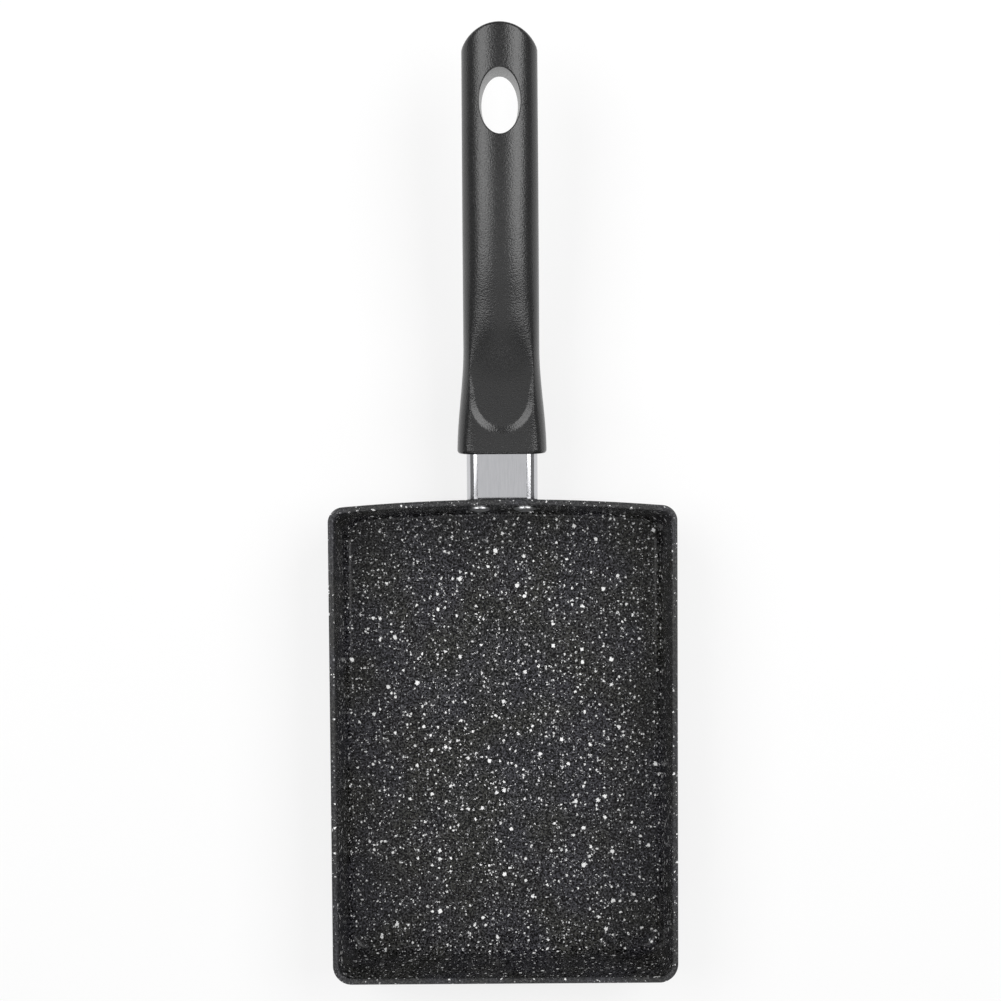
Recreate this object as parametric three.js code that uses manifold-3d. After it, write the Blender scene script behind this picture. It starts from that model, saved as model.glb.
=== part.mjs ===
// Rectangular rolled-omelette pan with a moulded handle. Millimetres and degrees, +Z up.
// The origin is the middle of the face the pan stands on, and the handle points along +Y.
import * as THREE from "three";
import { mergeVertices } from "three/addons/utils/BufferGeometryUtils.js";
import Module from "manifold-3d";

// Pan body
const rimWidth = 130; // over the outside of the rim, at the rear
const rimLength = 180; // front of the rim to the middle of the bowed rear edge
const panHeight = 36;
const wallThickness = 2.2;
const baseThickness = 3;
const sideFlare = 1.4; // how far each side wall leans out over its height
const rearFlare = 2.4;
const frontFlare = 1.8;
const frontNarrowing = 0.8; // how far each side draws in from rear to front
const rearBow = 3; // how far the rear edge bows out between its corners
const rearCornerRadius = 5.2; // plan radius at the rim
const frontCornerRadius = 7;
const footCornerRadius = 12; // plan radius of all four corners at the foot of the walls
const outerFilletRadius = 5;
const floorFilletRadius = 2.2;
const rimRoundingShare = 0.36; // share of the wall that each rim edge takes
const padHeight = 0.6; // ground pad that the pan stands on
const padMargin = 5; // pad edge to the foot of the outer fillet

// Line of the handle
const mountBelowRim = 13.5; // where the handle axis meets the rear wall
const handleRise = 5; // degrees above level
const guardLength = 18.5; // bare guard between the wall and the handle
const fitGap = 0.3; // clearance between neighbouring pieces

// Riveted bracket
const bracketThickness = 2.5;
const bracketBendRadius = 1.2;
const tongueDrop = 1; // middle of the tongue below the handle axis
const tongueWidth = 18;
const tongueReach = 30; // how far it runs into the handle
const tongueCornerRadius = 3;
const flangeCornerRadius = 1.5;
const rivetSpacing = 17;
const rivetEdge = 3.5; // rivet centre to the side of the flange
const rivetDiameter = 4.2;
const rivetHeadDiameter = 8.4;
const rivetRimHeight = 0.6;
const rivetDomeHeight = 1.2;
const rivetTailDiameter = 5.3;
const rivetTailHeight = 1.5;
const flangeMargin = 0.2; // flange above the rivet tails

// Flame guard
const guardThickness = 0.8;
const guardClearance = 0.5; // guard to bracket, on each side
const guardCornerRadius = 4.2;
const guardInsertion = 5; // how far it enters the handle

// Moulded handle
const handleLength = 156.4;
const gripFrontWidth = 28.6;
const gripEndWidth = 27.7;
const gripHeight = 19;
const gripSquareness = 2.15; // superellipse power, where 2 is an ellipse
const collarSquareness = 3;
const undersideSquareness = 2.6;
const collarUndersideSquareness = 4.4;
const collarSideWall = 3.5; // material round the guard
const collarTopWall = 1.6;
const collarBottomWall = 3.1;
const collarEdgeRadius = 1.2;
const flareLength = 39; // over which the collar narrows to the grip
const crownStart = 11; // where the top and its section start to change from the collar's to the grip's
const crownEnd = 120;
const roundingEnd = 90;
const bellyEnd = 60; // over which the underside draws up to the grip
const handleSweep = 10.5; // how far the grip sweeps up from its straight axis
const sweepLength = 130;
const endRadius = 14.4; // plan arc that cuts off the free end
const endEdgeRadius = 1.2;
const thumbFlatDepth = 1.8; // how deep the thumb rest's flat cuts into the crown
const rampStart = 22; // from the front of the collar, where the thumb rest starts to rise to the grip
const rampEnd = 64;
const rampLift = 0.3; // how far the ramp runs out over the grip
const scoopCentre = 34; // thumb scoop in the flat
const scoopReach = 23.1;
const scoopHalfWidth = 12;
const scoopDepth = 1.2;
const scoopWallAngle = 24;
const holeLength = 23.6; // hanging hole, square to the grip
const holeWidth = 14.3;
const holeFromEnd = 28;
const holeDraft = 2.4;

// Handle screw, from below into a nut on the tongue
const screwPosition = 15; // from the front of the collar
const screwDiameter = 4.6;
const screwTip = 1.2; // past the nut
const screwSeat = 2.2; // handle material between the tongue and the washers
const headDiameter = 9;
const headHeight = 2.4;
const recessSpan = 4.8;
const recessWidth = 1.2;
const recessDepth = 1.4;
const plainWasherDiameter = 10;
const plainWasherThickness = 0.8;
const springWasherDiameter = 8.8;
const springWasherThickness = 1;
const springWasherSplit = 0.9;
const springSplitAngle = 20;
const nutSides = 6;
const nutAcrossFlats = 8;
const nutHeight = 4;
const nutChamfer = 0.5;
const nutHeadroom = 0.8; // free height over the screw tip

// Fineness of the curves
const cornerSteps = 7;
const bowSteps = 12;
const filletSteps = 5;
const edgeSteps = 2;
const sectionSteps = 44;
const flareStations = 20;
const rampStations = 15;
const gripStations = 9;
const endStations = 9;
const endSweep = 82; // degrees of the end arc that the last station reaches
const curveSegments = 6;
const roundSegments = 32;
const domeSteps = 4;
const sharpestCorner = 1;
const cutterReach = 3; // how many times its body's size a cutter runs past it

// Sizes that follow
const rimRounding = rimRoundingShare * wallThickness;
const floorLevel = padHeight + baseThickness;
const mountHeight = panHeight - mountBelowRim;
const rise = THREE.MathUtils.degToRad(handleRise);
const rearLean = Math.atan2(rearFlare, panHeight);
const wallFace = rimLength / 2 - rearFlare * (1 - mountHeight / panHeight);
const wallDepth = wallThickness * Math.cos(rearLean);
const tongueTop = bracketThickness / 2 - tongueDrop;
const tongueUnder = tongueTop - bracketThickness;
const flangeWidth = rivetSpacing + 2 * rivetEdge;
const bendReach = bracketBendRadius * Math.tan((Math.PI / 2 + rearLean + rise) / 2);
const rivetLift = tongueTop + bendReach + fitGap + rivetTailDiameter / 2;
const flangeTop = rivetLift + rivetTailDiameter / 2 + flangeMargin;
const guardWidth = flangeWidth + 2 * (guardClearance + guardThickness);
const guardHeight = 2 * (flangeTop + guardClearance + guardThickness);
const collarWidth = guardWidth + 2 * collarSideWall;
const crownRise = guardHeight / 2 + collarTopWall + thumbFlatDepth - gripHeight / 2;
const shoulderDepth = guardHeight / 2 + collarBottomWall - gripHeight / 2;
const holeCentre = handleLength - holeFromEnd;
const screwAxis = guardLength + screwPosition;
const seatLevel = tongueUnder - fitGap - screwSeat;
const plainWasherTop = seatLevel - fitGap;
const springWasherTop = plainWasherTop - plainWasherThickness - fitGap;
const headTop = springWasherTop - springWasherThickness - fitGap;
const nutUnder = tongueTop + fitGap;
const nutTop = nutUnder + nutHeight;
const nutCorner = nutAcrossFlats / 2 / Math.cos(Math.PI / nutSides);
const boltHole = screwDiameter + 2 * fitGap;

const lerp = THREE.MathUtils.lerp;
const ease = THREE.MathUtils.smoothstep;
const quarter = Math.PI / 2;
const axisX = new THREE.Vector3(1, 0, 0);
const axisY = new THREE.Vector3(0, 1, 0);
const axisZ = new THREE.Vector3(0, 0, 1);

const wasm = await Module();
wasm.setup();

function toSolid(geometry) {
  const bare = geometry.clone();
  bare.deleteAttribute("normal");
  bare.deleteAttribute("uv");
  const welded = mergeVertices(bare);
  return new wasm.Manifold(new wasm.Mesh({
    numProp: 3,
    vertProperties: welded.attributes.position.array,
    triVerts: Uint32Array.from(welded.index.array),
  }));
}

function toGeometry(body) {
  const mesh = body.getMesh();
  const geometry = new THREE.BufferGeometry();
  geometry.setAttribute("position", new THREE.BufferAttribute(mesh.vertProperties, 3));
  geometry.setIndex(new THREE.BufferAttribute(mesh.triVerts, 1));
  return geometry;
}

// Takes each cutter away from the body.
function carve(geometry, cutters) {
  const start = toSolid(geometry);
  return toGeometry(cutters.reduce((body, cutter) => body.subtract(toSolid(cutter)), start));
}

// Closed surface over a row of rings with equal point counts, with a fan over each end.
function skin(rings) {
  const count = rings[0].length;
  const points = rings.flat();
  const faces = [];
  const last = points.length - count;
  for (let row = 0; row < last; row += count) {
    for (let step = 0; step < count; step += 1) {
      const next = (step + 1) % count;
      faces.push(row + step, row + next, row + count + next);
      faces.push(row + step, row + count + next, row + count + step);
    }
  }
  for (const [row, near, far] of [[0, 1, 0], [last, 0, 1]]) {
    const centre = new THREE.Vector3();
    points.slice(row, row + count).forEach((point) => centre.addScaledVector(point, 1 / count));
    points.push(centre);
    for (let step = 0; step < count; step += 1) {
      faces.push(points.length - 1, row + (step + near) % count, row + (step + far) % count);
    }
  }
  return new THREE.BufferGeometry().setFromPoints(points).setIndex(faces);
}

// Polygon outline whose corners [x, y, radius] are rounded by arcs.
function roundedPath(corners, path) {
  const spots = corners.map(([x, y]) => new THREE.Vector2(x, y));
  corners.forEach(([, , radius], index) => {
    const spot = spots[index];
    const before = spots[(index + spots.length - 1) % spots.length];
    const arriving = spot.clone().sub(before).normalize();
    const leaving = spots[(index + 1) % spots.length].clone().sub(spot).normalize();
    const turn = Math.acos(arriving.dot(leaving));
    const tangent = radius * Math.tan(turn / 2);
    const pull = (radius * 4 * Math.tan(turn / 4)) / 3;
    const start = spot.clone().addScaledVector(arriving, -tangent);
    const end = spot.clone().addScaledVector(leaving, tangent);
    if (index === 0) path.moveTo(start.x, start.y);
    else path.lineTo(start.x, start.y);
    path.bezierCurveTo(
      start.x + arriving.x * pull, start.y + arriving.y * pull,
      end.x - leaving.x * pull, end.y - leaving.y * pull,
      end.x, end.y,
    );
  });
  path.closePath();
  return path;
}

function rectangleCorners(left, right, bottom, top, radius) {
  return [[left, bottom, radius], [right, bottom, radius], [right, top, radius], [left, top, radius]];
}

function circlePath(x, y, diameter) {
  return new THREE.Path().absarc(x, y, diameter / 2, 0, 2 * Math.PI);
}

function extrude(shape, depth, segments = curveSegments) {
  return new THREE.ExtrudeGeometry(shape, { depth, bevelEnabled: false, curveSegments: segments });
}

// Turns an extrusion so that it runs along the handle, or across it with its profile seen from the side.
function alongHandle(geometry) {
  return geometry.applyMatrix4(new THREE.Matrix4().makeBasis(axisX.clone().negate(), axisZ, axisY));
}

function acrossHandle(geometry) {
  return geometry.applyMatrix4(new THREE.Matrix4().makeBasis(axisY, axisZ, axisX));
}

// Round bar between two heights, standing on the plan point [0, y].
function uprightBar(diameter, bottom, top, y) {
  const bar = new THREE.CylinderGeometry(diameter / 2, diameter / 2, top - bottom, roundSegments);
  return bar.rotateX(quarter).translate(0, y, (bottom + top) / 2);
}

function block(width, from, to, bottom, top) {
  const box = new THREE.BoxGeometry(width, to - from, top - bottom);
  return box.translate(0, (from + to) / 2, (bottom + top) / 2);
}

// From the frame of the rear wall's outer face to the frame of the handle, which share their origin.
function wallToHandle(geometry) {
  return geometry.rotateX(-rearLean - rise);
}

// Outline of the pan at one height, drawn in by the inset from the outer face of the walls.
function panRing(height, inset) {
  const fall = 1 - height / panHeight;
  const rearHalf = rimWidth / 2 - sideFlare * fall - inset;
  const frontHalf = rearHalf - frontNarrowing;
  const rear = rimLength / 2 - rearBow - rearFlare * fall - inset;
  const front = frontFlare * fall + inset - rimLength / 2;
  const rearRadius = Math.max(sharpestCorner, lerp(rearCornerRadius, footCornerRadius, fall) - inset);
  const frontRadius = Math.max(sharpestCorner, lerp(frontCornerRadius, footCornerRadius, fall) - inset);
  const corners = [
    [frontHalf - frontRadius, front + frontRadius, frontRadius, -quarter],
    [rearHalf - rearRadius, rear - rearRadius, rearRadius, 0],
    [rearRadius - rearHalf, rear - rearRadius, rearRadius, quarter],
    [frontRadius - frontHalf, front + frontRadius, frontRadius, 2 * quarter],
  ];
  const ring = [];
  corners.forEach(([x, y, radius, start], index) => {
    for (let step = 0; step <= cornerSteps; step += 1) {
      const turn = start + (quarter * step) / cornerSteps;
      ring.push(new THREE.Vector3(x + radius * Math.cos(turn), y + radius * Math.sin(turn), height));
    }
    const reachesRear = index === 1;
    for (let step = 1; reachesRear && step < bowSteps; step += 1) {
      ring.push(new THREE.Vector3(lerp(x, -x, step / bowSteps), rear, height));
    }
  });
  ring.filter((point) => point.y > 0).forEach((point) => {
    point.y += rearBow * (1 - (point.x / rearHalf) ** 2);
  });
  return ring;
}

// Quarter turn in even steps, as [sine, cosine].
function quarterTurn(steps) {
  return Array.from({ length: steps + 1 }, (_, step) => {
    const turn = (quarter * step) / steps;
    return [Math.sin(turn), Math.cos(turn)];
  });
}

function panBody() {
  const padInset = outerFilletRadius + padMargin;
  const outside = quarterTurn(filletSteps).map(([sine, cosine]) => (
    panRing(padHeight + outerFilletRadius * (1 - cosine), outerFilletRadius * (1 - sine))
  ));
  const rimOutside = quarterTurn(edgeSteps).map(([sine, cosine]) => (
    panRing(panHeight - rimRounding * (1 - sine), rimRounding * (1 - cosine))
  ));
  const rimInside = quarterTurn(edgeSteps).map(([sine, cosine]) => (
    panRing(panHeight - rimRounding * (1 - cosine), wallThickness - rimRounding * (1 - sine))
  ));
  const inside = quarterTurn(filletSteps).map(([sine, cosine]) => (
    panRing(floorLevel + floorFilletRadius * (1 - sine), wallThickness + floorFilletRadius * (1 - cosine))
  ));
  const pad = [panRing(0, padInset), panRing(padHeight, padInset)];
  const tray = skin([...pad, ...outside, ...rimOutside, ...rimInside, ...inside]);
  const rivetHoles = [-1, 1].map((side) => {
    const diameter = rivetDiameter + 2 * fitGap;
    const reach = cutterReach * wallThickness;
    const hole = new THREE.CylinderGeometry(diameter / 2, diameter / 2, reach, roundSegments);
    hole.translate((side * rivetSpacing) / 2, 0, rivetLift);
    return hole.rotateX(-rearLean).translate(0, wallFace, mountHeight);
  });
  return carve(tray, rivetHoles);
}

// Rivet standing on the wall's normal: domed head inside the pan, set tail behind the flange.
function rivet() {
  const head = -wallDepth - fitGap;
  const tail = bracketThickness + 2 * fitGap;
  const headRadius = rivetHeadDiameter / 2;
  const dome = Array.from({ length: domeSteps + 1 }, (_, step) => {
    const share = step / domeSteps;
    return [headRadius * share, head - rivetRimHeight - rivetDomeHeight * (1 - share ** 2)];
  });
  const profile = [
    ...dome,
    [headRadius, head],
    [rivetDiameter / 2, head],
    [rivetDiameter / 2, tail],
    [rivetTailDiameter / 2, tail],
    [rivetTailDiameter / 2, tail + rivetTailHeight / 2],
    [rivetDiameter / 2, tail + rivetTailHeight],
    [0, tail + rivetTailHeight],
  ];
  return new THREE.LatheGeometry(profile.map(([x, y]) => new THREE.Vector2(x, y)), roundSegments);
}

// Steel strip bent to an acute L: flange along the wall, tongue along the handle.
function bracket() {
  const lean = rearLean + rise;
  const faceAt = (height, depth) => height * Math.tan(lean) + depth / Math.cos(lean);
  const near = fitGap;
  const far = fitGap + bracketThickness;
  const top = flangeTop * Math.cos(lean);
  const tongueEnd = guardLength + tongueReach;
  const side = roundedPath([
    [faceAt(tongueUnder, near), tongueUnder, bracketBendRadius + bracketThickness],
    [tongueEnd, tongueUnder, 0],
    [tongueEnd, tongueTop, 0],
    [faceAt(tongueTop, far), tongueTop, bracketBendRadius],
    [faceAt(top, far), top, 0],
    [faceAt(top, near), top, 0],
  ], new THREE.Shape());
  const strip = acrossHandle(extrude(side, tongueWidth)).translate(-tongueWidth / 2, 0, 0);
  const plateBottom = tongueTop + bendReach;
  const plate = roundedPath(
    rectangleCorners(-flangeWidth / 2, flangeWidth / 2, plateBottom, flangeTop, flangeCornerRadius),
    new THREE.Shape(),
  );
  const flange = wallToHandle(alongHandle(extrude(plate, bracketThickness)).translate(0, near, 0));
  const rivetHoles = [-1, 1].map((sign) => {
    const diameter = rivetDiameter + 2 * fitGap;
    const reach = cutterReach * far;
    const hole = new THREE.CylinderGeometry(diameter / 2, diameter / 2, reach, roundSegments);
    return wallToHandle(hole.translate((sign * rivetSpacing) / 2, far, rivetLift));
  });
  const plan = roundedPath([
    [-tongueWidth, -guardLength, 0],
    [tongueWidth, -guardLength, 0],
    [tongueWidth, tongueEnd - tongueWidth, 0],
    [tongueWidth / 2, tongueEnd, tongueCornerRadius],
    [-tongueWidth / 2, tongueEnd, tongueCornerRadius],
    [-tongueWidth, tongueEnd - tongueWidth, 0],
  ], new THREE.Shape());
  const trim = extrude(plan, cutterReach * guardHeight).translate(0, 0, (-cutterReach * guardHeight) / 2);
  const strap = toSolid(strip).intersect(toSolid(trim)).add(toSolid(flange));
  const screwHole = uprightBar(boltHole, tongueUnder - fitGap, tongueTop + fitGap, screwAxis);
  return carve(toGeometry(strap), [...rivetHoles, screwHole]);
}

// Rounded-rectangle section of the guard, grown or shrunk by the offset.
function guardSection(offset, path) {
  const halfWidth = guardWidth / 2 + offset;
  const halfHeight = guardHeight / 2 + offset;
  const radius = guardCornerRadius + offset;
  return roundedPath(rectangleCorners(-halfWidth, halfWidth, -halfHeight, halfHeight, radius), path);
}

// Polished sleeve with its front cut along the leaning wall.
function flameGuard() {
  const section = guardSection(0, new THREE.Shape());
  section.holes.push(guardSection(-guardThickness, new THREE.Path()));
  const end = guardLength + guardInsertion;
  const sleeve = alongHandle(extrude(section, end + guardHeight)).translate(0, -guardHeight, 0);
  const reach = cutterReach * guardHeight;
  const beyondWall = block(cutterReach * guardWidth, -reach, fitGap, -reach, reach);
  return carve(sleeve, [wallToHandle(beyondWall)]);
}

// Height of the centre line over the straight handle axis: it leaves the axis level, rises most in its
// front third and ends level again.
function sweepHeight(along) {
  const left = 1 - Math.min(1, along / sweepLength);
  return handleSweep * (1 - left ** 3 * (4 - 3 * left));
}

// Height of the round crown over that centre line.
function crownHeight(along) {
  return gripHeight / 2 + crownRise * (1 - ease(along, crownStart, crownEnd));
}

// Section of the handle at a distance from the collar's front, drawn in by the inset.
// Past the centre of the end arc, the sides are cut off upright along that arc.
function handleRing(along, inset) {
  const gripWidth = lerp(gripFrontWidth, gripEndWidth, along / handleLength);
  const halfWidth = lerp(collarWidth, gripWidth, ease(along, 0, flareLength)) / 2 - inset;
  const tip = Math.max(0, along - handleLength + endRadius);
  const limit = tip > 0 ? Math.sqrt(endRadius ** 2 - tip ** 2) : halfWidth;
  const middle = sweepHeight(along);
  const above = crownHeight(along) - inset;
  const below = gripHeight / 2 + shoulderDepth * (1 - ease(along, 0, bellyEnd)) - inset;
  const crown = lerp(collarSquareness, gripSquareness, ease(along, crownStart, roundingEnd));
  const belly = lerp(collarUndersideSquareness, undersideSquareness, ease(along, 0, bellyEnd));
  return Array.from({ length: sectionSteps }, (_, step) => {
    const turn = (-2 * Math.PI * step) / sectionSteps;
    const across = Math.cos(turn);
    const up = Math.sin(turn);
    const power = 2 / (up > 0 ? crown : belly);
    const side = halfWidth * Math.sign(across) * Math.abs(across) ** power;
    const x = THREE.MathUtils.clamp(side, -limit, limit);
    const toEnd = tip > 0 ? endRadius - Math.hypot(x, tip) : endEdgeRadius;
    const edge = Math.max(0, endEdgeRadius - toEnd);
    const drawnIn = endEdgeRadius - Math.sqrt(endEdgeRadius ** 2 - edge ** 2);
    const reach = (up > 0 ? above : below) - drawnIn;
    const z = middle + reach * Math.sign(up) * Math.abs(up) ** power;
    return new THREE.Vector3(x, guardLength + along, z);
  });
}

// Height of a thumb rest that lies at a depth under the crown and then ramps up out of the grip.
function restHeight(along, depth) {
  const left = 1 - ease(along, rampStart, rampEnd);
  return sweepHeight(along) + crownHeight(along) + lerp(rampLift, -depth, left);
}

// Everything over a thumb rest of that depth, from the collar's front to the end of the ramp.
function overRest(depth) {
  const front = -collarEdgeRadius;
  const rings = Array.from({ length: rampStations + 1 }, (_, step) => {
    const along = lerp(front, rampEnd, step / rampStations);
    const level = restHeight(Math.max(0, along), depth);
    const top = level + gripHeight;
    const corners = [[-collarWidth, level], [-collarWidth, top], [collarWidth, top], [collarWidth, level]];
    return corners.map(([x, z]) => new THREE.Vector3(x, guardLength + along, z));
  });
  return skin(rings);
}

// Plan of the thumb scoop, a half ellipse in front and straight behind, with walls that slope out.
function scoopPlan() {
  const front = scoopCentre - scoopReach;
  const depth = thumbFlatDepth + scoopDepth;
  const rings = [-scoopDepth, gripHeight].map((height) => {
    const spread = height / Math.tan(THREE.MathUtils.degToRad(scoopWallAngle));
    const half = scoopHalfWidth + spread;
    const outline = Array.from({ length: roundSegments + 1 }, (_, step) => {
      const turn = Math.PI + (Math.PI * step) / roundSegments;
      return [half * Math.cos(turn), scoopCentre + (scoopReach + spread) * Math.sin(turn)];
    });
    outline.push([half, rampEnd], [-half, rampEnd]);
    return outline.map(([x, along]) => {
      const share = (along - front) / (scoopCentre - front);
      const level = lerp(restHeight(front, depth), restHeight(scoopCentre, depth), share);
      return new THREE.Vector3(x, guardLength + along, level + height);
    });
  });
  return skin(rings);
}

function thumbScoop() {
  const floor = overRest(thumbFlatDepth + scoopDepth);
  return toGeometry(toSolid(scoopPlan()).intersect(toSolid(floor)));
}

// Hanging hole, square to the grip and narrowing towards its underside.
function hangingHole() {
  const taper = Math.tan(THREE.MathUtils.degToRad(holeDraft));
  const rings = [-gripHeight, gripHeight].map((level) => {
    const spread = (level - gripHeight / 2) * taper;
    return Array.from({ length: roundSegments }, (_, step) => {
      const turn = (2 * Math.PI * step) / roundSegments;
      const x = (holeWidth / 2 + spread) * Math.cos(turn);
      const y = (holeLength / 2 + spread) * Math.sin(turn);
      return new THREE.Vector3(x, y, level);
    });
  });
  const tilt = Math.atan2(sweepHeight(holeCentre + fitGap) - sweepHeight(holeCentre), fitGap);
  return skin(rings).rotateX(tilt).translate(0, guardLength + holeCentre, sweepHeight(holeCentre));
}

function handleGrip() {
  const tipStart = handleLength - endRadius;
  const front = quarterTurn(edgeSteps).map(([sine, cosine]) => (
    handleRing(collarEdgeRadius * (1 - cosine), collarEdgeRadius * (1 - sine))
  ));
  const flare = Array.from({ length: flareStations }, (_, step) => (
    handleRing(lerp(collarEdgeRadius, rampEnd, (step + 1) / flareStations), 0)
  ));
  const grip = Array.from({ length: gripStations }, (_, step) => (
    handleRing(lerp(rampEnd, tipStart, (step + 1) / gripStations), 0)
  ));
  const end = Array.from({ length: endStations }, (_, step) => {
    const turn = THREE.MathUtils.degToRad((endSweep * (step + 1)) / endStations);
    return handleRing(tipStart + endRadius * Math.sin(turn), 0);
  });
  const moulding = skin([...front, ...flare, ...grip, ...end]);

  const collarFace = guardLength - fitGap;
  const socketDepth = guardInsertion + 2 * fitGap;
  const socket = alongHandle(extrude(guardSection(fitGap, new THREE.Shape()), socketDepth));
  socket.translate(0, collarFace, 0);
  const slotEnd = guardLength + tongueReach + fitGap;
  const slotWidth = tongueWidth + 2 * fitGap;
  const slot = block(slotWidth, collarFace, slotEnd, tongueUnder - fitGap, tongueTop + fitGap);
  const channelEnd = screwAxis + nutAcrossFlats / 2 + fitGap + nutChamfer;
  const channelTop = nutTop + screwTip + nutHeadroom;
  const channelWidth = 2 * (nutCorner + fitGap);
  const channel = block(channelWidth, collarFace, channelEnd, tongueTop, channelTop);
  const screwHole = uprightBar(boltHole, seatLevel - fitGap, tongueTop, screwAxis);
  const below = -cutterReach * gripHeight;
  const counterbore = uprightBar(plainWasherDiameter + 2 * fitGap, below, seatLevel, screwAxis);
  const rest = [overRest(thumbFlatDepth), thumbScoop()];
  return carve(moulding, [...rest, hangingHole(), socket, slot, channel, screwHole, counterbore]);
}

// Pan-head screw with a cross recess, head down.
function handleScrew() {
  const under = headTop - headHeight;
  const headRadius = headDiameter / 2;
  const profile = [
    [0, under],
    [headRadius - headHeight / 2, under],
    [headRadius, under + headHeight / 2],
    [headRadius, headTop],
    [screwDiameter / 2, headTop],
    [screwDiameter / 2, nutTop + screwTip / 2],
    [screwDiameter / 2 - screwTip / 2, nutTop + screwTip],
    [0, nutTop + screwTip],
  ];
  const turned = new THREE.LatheGeometry(profile.map(([x, y]) => new THREE.Vector2(x, y)), roundSegments);
  turned.rotateX(quarter).translate(0, screwAxis, 0);
  const slots = [[recessSpan, recessWidth], [recessWidth, recessSpan]].map(([width, length]) => (
    block(width, screwAxis - length / 2, screwAxis + length / 2, under - recessDepth, under + recessDepth)
  ));
  return carve(turned, slots);
}

function washerShape(diameter) {
  const shape = new THREE.Shape().absarc(0, 0, diameter / 2, 0, 2 * Math.PI);
  shape.holes.push(circlePath(0, 0, boltHole));
  return shape;
}

function plainWasher() {
  const ring = extrude(washerShape(plainWasherDiameter), plainWasherThickness, roundSegments / 2);
  return ring.translate(0, screwAxis, plainWasherTop - plainWasherThickness);
}

function springWasher() {
  const ring = extrude(washerShape(springWasherDiameter), springWasherThickness, roundSegments / 2);
  const reach = springWasherDiameter;
  const split = block(springWasherSplit, 0, reach, -reach, reach);
  split.rotateY(THREE.MathUtils.degToRad(springSplitAngle));
  return carve(ring, [split]).translate(0, screwAxis, springWasherTop - springWasherThickness);
}

// Hexagon nut with its corners turned off.
function bracketNut() {
  const shape = new THREE.Shape(Array.from({ length: nutSides }, (_, step) => {
    const turn = (2 * Math.PI * step) / nutSides;
    return new THREE.Vector2(nutCorner * Math.cos(turn), nutCorner * Math.sin(turn));
  }));
  const prism = extrude(shape, nutHeight);
  const barrel = new THREE.LatheGeometry([
    [0, 0],
    [nutCorner - nutChamfer, 0],
    [nutCorner, nutChamfer],
    [nutCorner, nutHeight - nutChamfer],
    [nutCorner - nutChamfer, nutHeight],
    [0, nutHeight],
  ].map(([x, y]) => new THREE.Vector2(x, y)), roundSegments).rotateX(quarter);
  const body = toGeometry(toSolid(prism).intersect(toSolid(barrel)));
  const bore = uprightBar(boltHole, -nutHeight, cutterReach * nutHeight, 0);
  return carve(body, [bore]).translate(0, screwAxis, nutUnder);
}

function finish(color, roughness, metalness) {
  return new THREE.MeshStandardMaterial({ color, roughness, metalness });
}

const stoneCoating = finish(0x2b2b2d, 0.5, 0.1);
const polishedSteel = finish(0xc4c5c8, 0.2, 1);
const blackPhenolic = finish(0x1d1d1e, 0.42, 0);
const zincSteel = finish(0xa9abad, 0.35, 1);
const rivetAluminium = finish(0xc9cacb, 0.3, 1);

function piece(name, geometry, material) {
  const mesh = new THREE.Mesh(geometry, material);
  mesh.name = name;
  geometry.computeVertexNormals();
  return mesh;
}

const wallFrame = new THREE.Group();
wallFrame.position.set(0, wallFace, mountHeight);
wallFrame.rotation.x = -rearLean;
[["rivet_left", -1], ["rivet_right", 1]].forEach(([name, side]) => {
  const seated = rivet().translate((side * rivetSpacing) / 2, 0, rivetLift);
  wallFrame.add(piece(name, seated, rivetAluminium));
});

const handleFrame = new THREE.Group();
handleFrame.position.copy(wallFrame.position);
handleFrame.rotation.x = rise;
handleFrame.add(piece("handle_bracket", bracket(), zincSteel));
handleFrame.add(piece("flame_guard", flameGuard(), polishedSteel));
handleFrame.add(piece("handle_grip", handleGrip(), blackPhenolic));
handleFrame.add(piece("bracket_nut", bracketNut(), zincSteel));
handleFrame.add(piece("handle_screw", handleScrew(), zincSteel));
handleFrame.add(piece("plain_washer", plainWasher(), zincSteel));
handleFrame.add(piece("spring_washer", springWasher(), zincSteel));

const pan = new THREE.Group();
pan.add(piece("pan_body", panBody(), stoneCoating), wallFrame, handleFrame);

export default pan;
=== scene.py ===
import math

import bpy
from mathutils import Matrix, Vector


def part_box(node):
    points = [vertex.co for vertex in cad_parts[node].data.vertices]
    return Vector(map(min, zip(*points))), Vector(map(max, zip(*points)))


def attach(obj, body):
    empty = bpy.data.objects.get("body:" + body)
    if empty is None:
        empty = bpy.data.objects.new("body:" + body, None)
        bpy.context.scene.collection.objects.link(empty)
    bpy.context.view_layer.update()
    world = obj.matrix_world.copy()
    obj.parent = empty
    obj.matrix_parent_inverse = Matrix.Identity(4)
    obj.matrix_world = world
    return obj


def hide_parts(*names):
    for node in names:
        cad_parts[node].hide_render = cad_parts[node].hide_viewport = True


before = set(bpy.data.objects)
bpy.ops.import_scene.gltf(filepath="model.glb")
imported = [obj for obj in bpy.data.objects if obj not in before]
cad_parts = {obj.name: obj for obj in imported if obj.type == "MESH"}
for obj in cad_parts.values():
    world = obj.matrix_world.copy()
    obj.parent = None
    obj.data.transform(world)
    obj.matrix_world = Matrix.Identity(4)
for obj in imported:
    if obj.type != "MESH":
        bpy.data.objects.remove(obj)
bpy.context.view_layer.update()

MM = 0.001
QUARTER = math.pi / 2

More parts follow.
